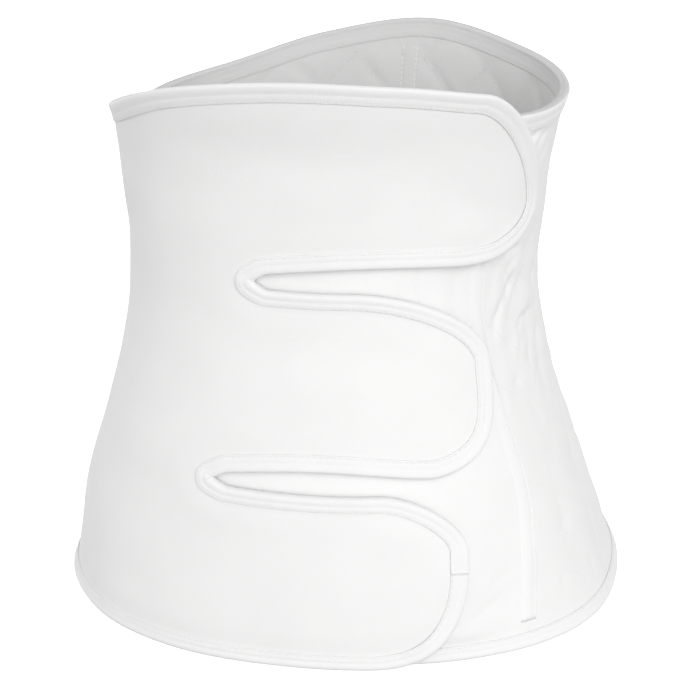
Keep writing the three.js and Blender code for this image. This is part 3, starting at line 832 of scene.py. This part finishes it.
# A stitch, along it: where, how high its middle lies and how full it is, as shares of its size
STITCH = [(-0.5, -0.55, 0.45), (-0.34, 0.05, 0.95), (0.0, 0.25, 1.0), (0.34, 0.05, 0.95), (0.5, -0.55, 0.45)]
STITCH_SIDES = np.radians([90, 162, 234, 306, 18])


def stitches(name, runs, material, length=2.5, pitch=3.3, width=0.42, height=0.28):
    """Threads laid along runs of points: each run is (points, outward directions)."""
    n = len(STITCH_SIDES)
    size = n * len(STITCH)
    pattern = [[k + m, k + (m + 1) % n, k + n + (m + 1) % n, k + n + m]
               for k in range(0, size - n, n) for m in range(n)]
    pattern += [list(range(n))[::-1], list(range(size - n, size))]
    vertices, faces = [], []
    base = 0
    for points, outward in runs:
        run = np.concatenate([[0], np.cumsum(np.linalg.norm(np.diff(points, axis=0), axis=1))])
        if run[-1] < pitch:
            continue
        count = int(run[-1] / pitch)
        centre = (np.arange(count) + 0.5) * run[-1] / count

        def at(place, values):
            return np.stack([np.interp(place, run, values[:, k]) for k in range(3)], -1)

        along = at(centre + length / 2, points) - at(centre - length / 2, points)
        along /= np.linalg.norm(along, axis=1)[:, None]
        out = at(centre, outward)
        out -= along * (out * along).sum(1)[:, None]
        out /= np.linalg.norm(out, axis=1)[:, None]
        side = np.cross(along, out)
        rings = []
        for where, rise, full in STITCH:
            place = at(centre, points) + along * (where * length) + out * (rise * height)
            for angle in STITCH_SIDES:
                a, b = math.cos(angle), math.sin(angle)
                rings.append(place + side * (a * width / 2 * full) + out * (b * height / 2 * full))
        vertices.append(np.stack(rings, 1).reshape(-1, 3))
        for k in range(count):
            faces += [[base + k * size + v for v in f] for f in pattern]
        base += count * size
    vertices = np.concatenate(vertices)
    return new_object(name, vertices, faces, material, vertices[:, [0, 2]])


def seam_run(turn, z, off, sign=1):
    """Points and outward directions along a line of turns and heights, at offsets from the body."""
    points = on_body(turn, z, off)
    round_ = on_body(turn + 0.25, z, off) - on_body(turn - 0.25, z, off)
    up = on_body(turn, z + 0.5, off) - on_body(turn, z - 0.5, off)
    out = np.cross(round_, up)
    out /= np.linalg.norm(out, axis=1)[:, None]
    return points, out * sign


# Materials
# Each cloth's bands of thread: their direction, and their size as a share of the weave's
WEAVES = {
    "plain": [("X", 1.0), ("Y", 1.0)],
    "knit": [("X", 1.3), ("Y", 1.0)],
    "twill": [("DIAGONAL", 1.0), ("X", 1.6)],
    "thread": [("DIAGONAL", 1.0)],
}
LOOPS, THREADS = 1.4, 0.7             # how much the bands stray in a knit, and in the others
BAND_SCALE = 0.314                    # the wave node's scale for bands of 1 mm
BLOTCH_DARK, WEAVE_DARK = 0.955, 0.965
BLOTCH_SCALE, NAP_SCALE = 38.0, 420.0
NAP_SHARE = 1.6                       # the nap's height against the weave's


def set_inputs(node, values):
    for key, value in values:
        node.inputs[key].default_value = value


def new_node(tree, kind, inputs=(), **settings):
    node = tree.nodes.new("ShaderNode" + kind)
    for key, value in settings.items():
        setattr(node, key, value)
    set_inputs(node, inputs)
    return node


def new_material(name, values):
    """A material, and its shader with these values."""
    material = bpy.data.materials.new(name)
    material.use_nodes = True
    shader = material.node_tree.nodes["Principled BSDF"]
    set_inputs(shader, values)
    return material, shader


def cloth_material(name, grey, blue, weave, relief, roughness, sheen, kind):
    """White cloth: thread-scale weave, soft unevenness of colour and surface."""
    material, shader = new_material(name, [
        ("Roughness", roughness), ("Specular IOR Level", 0.25), ("Sheen Weight", sheen),
        ("Sheen Roughness", 0.45),
    ])
    tree = material.node_tree
    link = tree.links.new
    node = functools.partial(new_node, tree)
    place = node("TexCoord")

    def noise(scale, detail):
        made = node("TexNoise", [("Scale", scale), ("Detail", detail)])
        link(place.outputs["Object"], made.inputs["Vector"])
        return made.outputs["Fac"]

    def bump(height, distance):
        made = node("Bump", [("Strength", 1.0), ("Distance", distance * METRES)])
        link(height, made.inputs["Height"])
        return made

    cloth_place = node("UVMap", uv_map="cloth")
    colour = [grey, grey, blue]
    dark = [c * BLOTCH_DARK for c in colour]
    blotches = node("Mix", [(6, [*dark, 1]), (7, [*colour, 1])], data_type="RGBA")
    link(noise(BLOTCH_SCALE, 4.0), blotches.inputs[0])

    thread = None
    for direction, share in WEAVES[kind]:
        bands = node("TexWave", [("Scale", BAND_SCALE / (weave * share)), ("Detail", 1.0),
                                 ("Distortion", LOOPS if kind == "knit" else THREADS)],
                     wave_type="BANDS", bands_direction=direction, wave_profile="SIN")
        link(cloth_place.outputs["UV"], bands.inputs["Vector"])
        if thread is not None:
            both = node("Math", operation="MULTIPLY")
            link(thread, both.inputs[0])
            link(bands.outputs["Fac"], both.inputs[1])
            thread = both.outputs[0]
        else:
            thread = bands.outputs["Fac"]

    tint = node("MapRange", [("To Min", WEAVE_DARK), ("To Max", 1.0)])
    link(thread, tint.inputs["Value"])
    shade = node("Mix", [(0, 1.0)], data_type="RGBA", blend_type="MULTIPLY")
    link(blotches.outputs[2], shade.inputs[6])
    link(tint.outputs["Result"], shade.inputs[7])
    link(shade.outputs[2], shader.inputs["Base Color"])

    fine = bump(thread, relief)
    soft = bump(noise(NAP_SCALE, 3.0), relief * NAP_SHARE)
    link(fine.outputs["Normal"], soft.inputs["Normal"])
    link(soft.outputs["Normal"], shader.inputs["Normal"])
    return material


# Each by its name: red and green, blue, size of the weave, relief in mm, roughness, sheen, kind
QUILTED = cloth_material("quilted_cotton", 0.872, 0.869, 0.75, 0.055, 0.92, 0.15, "plain")
# The lining is the outside's white cotton made darker: painted shade for the inside of the binder, where
# less light falls.
SHADED_LINING = cloth_material("cotton_lining_painted_shade", 0.705, 0.702, 0.75, 0.055, 0.94, 0.10, "plain")
# The tape's inside is the same white tape made darker: painted shade inside the binder, also laid on the
# fold over the top edge.
SHADED_INNER_TAPE = cloth_material("cotton_tape_painted_shade", 0.690, 0.688, 0.55, 0.070, 0.92, 0.10, "twill")
SMOOTH = cloth_material("smooth_knit", 0.873, 0.870, 0.60, 0.040, 0.90, 0.18, "knit")
TAPE = cloth_material("cotton_tape", 0.880, 0.878, 0.55, 0.070, 0.88, 0.20, "twill")
THREAD = cloth_material("sewing_thread", 0.820, 0.818, 0.35, 0.060, 0.70, 0.25, "thread")
UNDERLAP = cloth_material("underlap_knit", 0.880, 0.877, 0.60, 0.040, 0.90, 0.18, "knit")
STAY_THREAD = cloth_material("stay_thread", 0.900, 0.898, 0.35, 0.060, 0.70, 0.25, "thread")
# The lining's thread is the white thread made darker: painted shade inside the binder.
SHADED_LINING_THREAD = cloth_material("lining_thread_painted_shade", 0.720, 0.718, 0.35, 0.040, 0.85, 0.10, "thread")
FAINT_THREAD = cloth_material("quilting_thread", 0.845, 0.842, 0.35, 0.040, 0.85, 0.15, "thread")
HOOK = cloth_material("hook_tape", 0.800, 0.800, 0.90, 0.120, 0.60, 0.05, "plain")

# Front panel and its tape
front, seam_foot, seam_head = front_net(FRONT_STEP)
front_loop = front.border(seam_foot)
front_edge = front_loop[:int(np.where(front_loop == seam_head)[0][0]) + 1]
front_far = edge_distance(front, [front_edge])
front_groove = TAPE_GROOVE * np.exp(-((front_far - GROOVE_PLACE) / GROOVE_BREADTH) ** 2)
front_puff = FRONT_PUFF * smooth(front_far, *PUFF_FADE) - front_groove
front_drift = waves(front.turn, front.z, FRONT_WAVES) - pressed(FRONT_DENTS, front.turn, front.z)
patch_line = smooth(front.turn, PATCH_LINE_TURN - PATCH_STEP_BREADTH, PATCH_LINE_TURN + PATCH_STEP_BREADTH)
on_bottom_tab = 1 - smooth(front.z, *(HEIGHT * TABS[0][2] - down for down in PATCH_STEP_TOP))
patch_step = PATCH_STEP * patch_line * on_bottom_tab * smooth(front_far, *PATCH_STEP_FADE)
front_relief = front_puff + front_drift * smooth(front_far, *FRONT_WAVE_FADE) + patch_step
front_piece = shell(
    "front_panel_cloth", front,
    front_outer(front.turn, front.z) + front_relief,
    front_inner(front.turn, front.z) - INNER_PUFF * front_puff,
    SMOOTH, "smooth_cloth", seam_foot,
)
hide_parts("front_panel")

front_path = Path(front.turn[front_edge], front.z[front_edge], FRONT_TAPE_STEP, TAPE_JOINT)
front_wall = (front_outer(front_path.turn, front_path.z), front_inner(front_path.turn, front_path.z))
front_laps = [(front_path.nearest(*TAPE_JOINT), *JOINT_LAP)]
for i in range(len(SLIT_ROOTS)):
    tip = slit_mouth(i) - slit_degrees(i, SLIT_POINT)
    front_laps.append((front_path.nearest(tip, slit_level(i)) + MITRE_SHIFT, *MITRE_LAP))
front_tape = tape("front_tape", front_path, front_wall, TAPE, 0.3, front_laps)
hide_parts("front_binding")

# Back panel and underlap
def back_bend(turn, z, edge, seams):
    """Dents and soft waves of the back panel, kept off its tape and seams."""
    dents = pressed(DENTS, turn, z) * smooth(edge, *DENT_TAPE_FADE) * smooth(seams, *DENT_SEAM_FADE)
    along = ARC.length(turn, z)
    drift = waves(along, z, BACK_WAVES) + math.prod(waves(along, z, table) for table in BACK_BLOTCHES)
    return drift * smooth(edge, *TAPE_FADE) * smooth(seams, *SEAM_FADE) - dents


def quilt_free(turn, z, edge, seams, face):
    """Where the quilting shows: off the tape and seams, and off the stay on the inner face."""
    free = smooth(edge, *TAPE_FADE) * smooth(seams, *SEAM_FADE)
    if face == "inside":
        free = free * smooth(np.abs(turn - BACK_STAY_TURN) * degree_length(turn, z), *BACK_STAY_FADE)
    return free


def back_faces(turn, z, edge, seams):
    """Offsets of the back panel's two faces, with all of their relief."""
    bend = back_bend(turn, z, edge, seams)
    puff, lining_puff = (quilt_relief(turn, z, face) * quilt_free(turn, z, edge, seams, face)
                         for face in ("outside", "inside"))
    return {"outside": back_outer(turn, z) + bend + puff,
            "inside": back_inner(turn, z) + INNER_BEND * bend - lining_puff}


back, back_ids = back_net(BACK_COLUMNS, BACK_ROWS)
seams = edge_distance(back, [back_ids[0], back_ids[-1]])
back_far = edge_distance(back, [back_ids[:, 0], back_ids[:, -1]])
# Its inner face is of the darker lining material: painted shade inside the binder.
back_piece = shell("back_panel_cloth", back, *back_faces(back.turn, back.z, back_far, seams).values(),
                   QUILTED, "quilted_cloth", int(back_ids[0, 0]), SHADED_LINING)
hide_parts("back_panel")

under, under_ids, under_across = underlap_net(UNDERLAP_COLUMNS, UNDERLAP_ROWS)
under_far = edge_distance(under, [under_ids[:, 0], under_ids[:, -1], under_ids[0]])
under_free = smooth(under_far, *UNDERLAP_FADE)
seam_line = np.exp(-(under_across / UNDERLAP_SEAM_BREADTH) ** 2)
seam_dip = UNDERLAP_SEAM_DEPTH * seam_line * smooth(under.z, *UNDERLAP_SEAM_RISE)
under_push = UNDERLAP_PUSH * (1 - smooth(under.turn - stay_line(under.z), *PUSH_FADE))
in_slits = sum(np.exp(-((under.z - slit_level(i)) / BULGE_REACH) ** 2) for i in range(len(SLIT_ROOTS)))
under_push += SLIT_BULGE * in_slits * (1 - smooth(under.turn, *BULGE_FADE))
under_wave = waves(under.turn, under.z, UNDERLAP_WAVES) - pressed(UNDERLAP_DENTS, under.turn, under.z)
under_piece = shell(
    "underlap_cloth", under,
    (under_push - seam_dip + under_wave) * under_free,
    (under_push + INNER_WAVE * under_wave) * under_free - UNDERLAP_WALL,
    UNDERLAP, "smooth_cloth", int(under_ids[0, 0]),
)
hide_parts("underlap_panel")

# The inner tape runs along the tops, round the underlap's end and back along the hems
edges = [(back, back_ids[::-1, -1]), (under, under_ids[::-1, -1]), (under, under_ids[0, -2:0:-1]),
         (under, under_ids[:, 0]), (back, back_ids[:, 0])]
inner_turn = np.concatenate([net.turn[ids] for net, ids in edges])
inner_z = np.concatenate([net.z[ids] for net, ids in edges])
inner_path = Path(inner_turn, inner_z, INNER_TAPE_STEP)
beyond = smooth(inner_path.turn - stay_line(inner_path.z), -CROSSING, CROSSING)
inner_wall = (
    beyond * back_outer(inner_path.turn, inner_path.z),
    beyond * back_inner(inner_path.turn, inner_path.z) - (1 - beyond) * UNDERLAP_WALL,
)
# Along the back panel, the tape's inside and its fold take the darker tape material: painted shade.
inner_tape = tape("inner_tape", inner_path, inner_wall, TAPE, 5.1,
                  lining=SHADED_INNER_TAPE, painted_shade_run=beyond > 0.5)
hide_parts("inner_binding")


# Stays and hook patches
# Sections of the stays' casings, from the left edge to the right: where, and how far they rise.
# The side stay lies smooth on its left and has a sewn groove and a full edge on its right.
SIDE_CASING = [(-1.04, -0.22), (-0.94, 0.02), (-0.8, 0.20), (-0.5, 0.42), (-0.2, 0.54), (0.15, 0.58),
               (0.38, 0.56), (0.46, 0.46), (0.50, 0.00), (0.64, 0.00), (0.68, 0.62), (0.76, 0.94),
               (0.86, 1.0), (0.94, 0.84), (1.0, 0.36), (1.03, -0.22)]
BACK_CASING = [(-1.04, -0.20), (-0.92, 0.06), (-0.78, 0.20), (-0.5, 0.42), (-0.2, 0.52), (0.2, 0.52),
               (0.5, 0.42), (0.78, 0.20), (0.92, 0.06), (1.04, -0.20)]
CASING_FOOT = [(0.5, -0.3), (-0.5, -0.3)]   # inside the cloth
CASING_STEPS = 110
CASING_TAPER, CASING_END = 2.5, 0.25        # length of its tapered ends, and their height as a share
CASING_UNEVEN = [(0.16, 1.0, 0.0, 58.0, 2.4), (0.08, 1.0, 0.0, 17.0, 1.1)]
SIDE_STAY_FACES = 0.05, 1.40
BACK_STAY_FACES = 0.1 - PADDED_WALL, -1.0 - PADDED_WALL


def across_stay(centre, across, z):
    """Turn of a place across a stay, which is given as a share of its half width."""
    return centre(z) + across * STAY_WIDTH / 2 / degree_length(centre(z), z)


def strip(name, centre, top, offsets, casing, material):
    """A cloth casing with a flat stay inside it; it rises from the first offset to the second."""
    low, high = offsets
    levels = np.linspace(STAY_END, top, CASING_STEPS)
    ends = smooth(levels - STAY_END, 0, CASING_TAPER) * smooth(top - levels, 0, CASING_TAPER)
    height = (CASING_END + (1 - CASING_END) * ends) * (1 + waves(levels, 0, CASING_UNEVEN))
    rings = []
    for across, rise in casing + CASING_FOOT:
        full = np.clip(max(rise, 0) * height, 0, 1) + min(rise, 0)
        rings.append(on_body(across_stay(centre, across, levels), levels, low + (high - low) * full))
    points, faces = swept(np.stack(rings, 1), high < low)
    across = np.arange(float(len(rings)))
    uv = np.stack(np.broadcast_arrays(across[None], levels[:, None]), -1).reshape(-1, 2)
    return new_object(name, points, faces, material, uv)


def back_line(z):
    return BACK_STAY_TURN + 0 * np.asarray(z, float)


side_top = float(inner_top(stay_line(HEIGHT))) - STAY_END
side_stay = strip("side_stay_casing", stay_line, side_top, SIDE_STAY_FACES, SIDE_CASING, UNDERLAP)
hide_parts("side_stay")
back_top = float(inner_top(BACK_STAY_TURN)) - STAY_END
# The back stay's casing is of the darker lining material too: painted shade.
back_stay = strip("back_stay_casing", back_line, back_top, BACK_STAY_FACES, BACK_CASING, SHADED_LINING)
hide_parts("back_stay")

PATCH_GAP = 3.0       # from the tape and from the side stay
PATCH_LENGTH = 40.0
PATCH_CORNER = 6.0
PATCH_COLUMNS, PATCH_ROWS = 31, 49
PATCH_BELOW = 0.8     # its back, in from the tab's inner face
PATCH_FOOT = 1.55     # its face, out from the body surface
HOOK_HEIGHT, HOOK_PITCH = 0.22, math.pi / 2.1

for tab, place in enumerate(("bottom", "middle", "top")):
    inset = TAPE_WIDTH + PATCH_GAP
    reach, widest = TABS[tab][3:5]
    middle = float(tab_z(tab, widest, np.array(reach), inset))
    stay = float(stay_line(middle))
    stay_side = stay - (STAY_WIDTH / 2 + PATCH_GAP) / float(degree_length(stay, middle))
    last = min(float(tab_end(tab, np.array(widest), inset)), stay_side)
    degree = float(degree_length(last, middle))
    first = last - PATCH_LENGTH / degree
    shares = round_shares(END_STEPS)
    inside = shares[tab_end(tab, shares, inset) > first + PATCH_CORNER / degree]
    v = np.linspace(inside[0], inside[-1], PATCH_ROWS)[None]
    u = np.linspace(0, 1, PATCH_COLUMNS)[:, None]
    turn = first + (np.minimum(tab_end(tab, v, inset), last) - first) * u
    top = np.minimum(tab_high(tab, turn, inset), inner_top(turn) - inset)
    bottom = tab_low(tab, turn, inset)
    net = Net()
    ids = net.add(turn, bottom + (top - bottom) * v)
    net.done()
    rows, columns = (np.abs(np.sin(x * math.pi / HOOK_PITCH)) for x in (net.z, ARC.length(net.turn, net.z)))
    patch = shell(f"hook_patch_{place}_cloth", net, front_inner(net.turn, net.z) - PATCH_BELOW,
                  PATCH_FOOT + HOOK_HEIGHT * rows * columns, HOOK, "hook_tape", int(ids[0, 0]))
    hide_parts(f"hook_patch_{place}")


# Stitching
def tape_runs(path, wall):
    outer, inner = wall
    turn, z = path.shifted(TAPE_STITCH)
    return [seam_run(turn, z, outer + STITCH_RISE), seam_run(turn, z, inner - LINING_STITCH_RISE, -1)]


front_stitches = stitches("front_tape_stitches", tape_runs(front_path, front_wall), THREAD)
outside_run, lining_run = tape_runs(inner_path, inner_wall)
stitches("inner_tape_stitches", [outside_run], THREAD)
# The stitches on the lining side are of the darker thread: painted shade.
stitches("lining_tape_stitches", [lining_run], SHADED_LINING_THREAD)

END_SEAM = 1.6         # from the casing's end
SIDE_SEAM_ENDS = 1.5, 1.0   # the side seams, from the casing's lower and upper end
END_SEAM_POINTS = 12
# Line, top, side seams across, their offset, the end seams' span, their offset, the side they face
STAY_SEAMS = [
    (stay_line, side_top, (), 0.0, (-0.75, 0.45), 0.80, 1),
    (back_line, back_top, (-0.80, 0.80), -0.14 - PADDED_WALL, (-0.75, 0.75), -0.42 - PADDED_WALL, -1),
]
stay_runs = []
for centre, top, sides, off, span, end_off, sign in STAY_SEAMS:
    levels = np.arange(STAY_END + SIDE_SEAM_ENDS[0], top - SIDE_SEAM_ENDS[1], 1.0)
    for side in sides:
        stay_runs.append(seam_run(across_stay(centre, side, levels), levels, off, sign))
    for level in (STAY_END + END_SEAM, top - END_SEAM):
        row = np.full(END_SEAM_POINTS, level)
        turn = across_stay(centre, np.linspace(*span, END_SEAM_POINTS), row)
        stay_runs.append(seam_run(turn, row, end_off, sign))
stitches("stay_stitches", stay_runs, STAY_THREAD, length=2.1, pitch=2.8, width=0.50, height=0.34)

# The quilting's threads: points along them, their first height over the hem, the distances that
# they keep from the stay, the side seam and the back stay's casing, and the shortest that is sewn
QUILT_STEP, QUILT_START, QUILT_TOP = 0.8, 9.5, 300.0
QUILT_LINES = range(-24, 25)   # counted from the line through the corner
STAY_MARGIN, SEAM_MARGIN, CASING_MARGIN = 6.0, 4.5, 0.6
SHORTEST_RUN = 8
QUILT_THREAD_SHIFT = {"outside": -0.04, "inside": -0.02}


def quilt_runs(face):
    """Threads along the quilting lines of one face of the back panel."""
    runs = []
    levels = np.arange(EDGE + QUILT_START, QUILT_TOP, QUILT_STEP)
    rise = (levels - QUILT_LEVEL) / QUILT_HEIGHT
    for family, k in itertools.product((1, -1), QUILT_LINES):
        straight = (k - family * rise) * QUILT_WIDTH
        s = straight
        for _ in range(3):
            s = straight - waves(s, levels, QUILT_DRIFT)
        turn = ARC.turn(s, levels)
        degree = degree_length(turn, levels)
        stay, seam = (turn - stay_line(levels)) * degree, (SIDE_SEAM + 360 - turn) * degree
        sewn = (stay > STAY_MARGIN) & (seam > SEAM_MARGIN)
        sewn &= levels < inner_top(turn) - TAPE_WIDTH - QUILT_END
        if face == "inside":
            sewn &= np.abs(turn - BACK_STAY_TURN) * degree > STAY_WIDTH / 2 + CASING_MARGIN
        edge = np.minimum(levels - EDGE, inner_top(turn) - EDGE - levels)
        off = back_faces(turn, levels, edge, np.minimum(stay, seam))[face] + QUILT_THREAD_SHIFT[face]
        cuts = np.flatnonzero(np.diff(sewn.astype(int)) != 0) + 1
        for part in np.split(np.arange(len(levels)), cuts):
            if len(part) >= SHORTEST_RUN and sewn[part[0]]:
                runs.append(seam_run(turn[part], levels[part], off[part], 1 if face == "outside" else -1))
    return runs


stitches("quilting_outside", quilt_runs("outside"), FAINT_THREAD,
         length=2.6, pitch=3.6, width=0.34, height=0.18)
# The lining's quilting threads are of the darker thread: painted shade.
stitches("quilting_inside", quilt_runs("inside"), SHADED_LINING_THREAD,
         length=2.6, pitch=3.6, height=0.26)

# Flat sizes and areas of the soft front panel and underlap
front_flat, front_area = cut_size(front)
under_flat, under_area = cut_size(under)

# Camera
TURN, RISE = math.radians(15.0), math.radians(21.0)
DISTANCE = 1250.0
FOCAL_PIXELS = 2293.5
FRAME_PIXELS = 700
SENSOR = 36.0
AIM_RIGHT, AIM_UP = 6.1, 125.0
back_dir = Vector((math.sin(TURN) * math.cos(RISE), -math.cos(TURN) * math.cos(RISE), math.sin(RISE)))
right_dir = Vector((math.cos(TURN), math.sin(TURN), 0.0))
up_dir = back_dir.cross(right_dir)
target = right_dir * AIM_RIGHT + Vector((AXIS[0], AXIS[1], AIM_UP))
position = (target + back_dir * DISTANCE) * METRES
camera_data = bpy.data.cameras.new("camera")
camera_data.sensor_width = SENSOR
camera_data.lens = SENSOR * FOCAL_PIXELS / FRAME_PIXELS
camera_data.clip_start = 0.05
camera_data.clip_end = 50.0
camera = placed("camera", camera_data)
basis = Matrix((right_dir, up_dir, back_dir)).transposed().to_4x4()
camera.matrix_world = Matrix.Translation(position) @ basis
bpy.context.scene.camera = camera

# Floor and light
FLOOR_REACH, FLOOR_DROP = 12.0, 0.0005
FLOOR_GREY, FLOOR_GLOW = 0.93, 0.72
floor_material, _ = new_material("studio_floor", [
    ("Base Color", (FLOOR_GREY, FLOOR_GREY, FLOOR_GREY, 1)), ("Roughness", 1.0),
    ("Emission Color", (1, 1, 1, 1)), ("Emission Strength", FLOOR_GLOW),
])
floor_mesh = bpy.data.meshes.new("floor")
corners = [(x * FLOOR_REACH, y * FLOOR_REACH, 0) for x, y in ((-1, -1), (1, -1), (1, 1), (-1, 1))]
floor_mesh.from_pydata(corners, [], [(0, 1, 2, 3)])
floor_mesh.materials.append(floor_material)
floor = placed("floor", floor_mesh)
floor.location.z = -FLOOR_DROP
floor.visible_diffuse = False

# Light from all round the studio: height of the direction, from 0 straight below to 1 straight
# above, and brightness. It comes mostly from the sides, as from walls and large soft boxes.
STUDIO = [(0.0, 0.12), (0.2, 0.38), (0.4, 0.82), (0.6, 1.00), (0.8, 0.54), (1.0, 0.34)]
STUDIO_STRENGTH = 1.04
# name, direction that it comes from, spread in degrees, strength
SUNS = [
    ("key", (0.484, -0.775, 0.500), 40, 1.50),
    ("fill", (-1.0, 0.2, 0.5), 70, 0.28),
    ("rear", (-0.55, 0.90, 0.45), 60, 0.35),
]
world = bpy.data.worlds.new("studio")
bpy.context.scene.world = world
world.use_nodes = True
world_tree = world.node_tree
direction = new_node(world_tree, "TexCoord")
parts = new_node(world_tree, "SeparateXYZ")
level = new_node(world_tree, "MapRange", [("From Min", -1.0)])
ramp = new_node(world_tree, "ValToRGB")
stops = ramp.color_ramp.elements
while len(stops) < len(STUDIO):
    stops.new(0.5)
for stop, (height, bright) in zip(stops, STUDIO):
    stop.position = height
    stop.color = (bright, bright, bright, 1)
background = world_tree.nodes["Background"]
background.inputs["Strength"].default_value = STUDIO_STRENGTH
world_tree.links.new(direction.outputs["Generated"], parts.inputs[0])
world_tree.links.new(parts.outputs["Z"], level.inputs["Value"])
world_tree.links.new(level.outputs["Result"], ramp.inputs["Fac"])
world_tree.links.new(ramp.outputs["Color"], background.inputs["Color"])


def soft_sun(name, direction, spread, strength):
    data = bpy.data.lights.new(name, "SUN")
    data.angle = math.radians(spread)
    data.energy = strength
    placed(name, data).rotation_euler = Vector(direction).to_track_quat("Z", "Y").to_euler()


for sun in SUNS:
    soft_sun(*sun)

bpy.context.scene.view_settings.view_transform = "Standard"
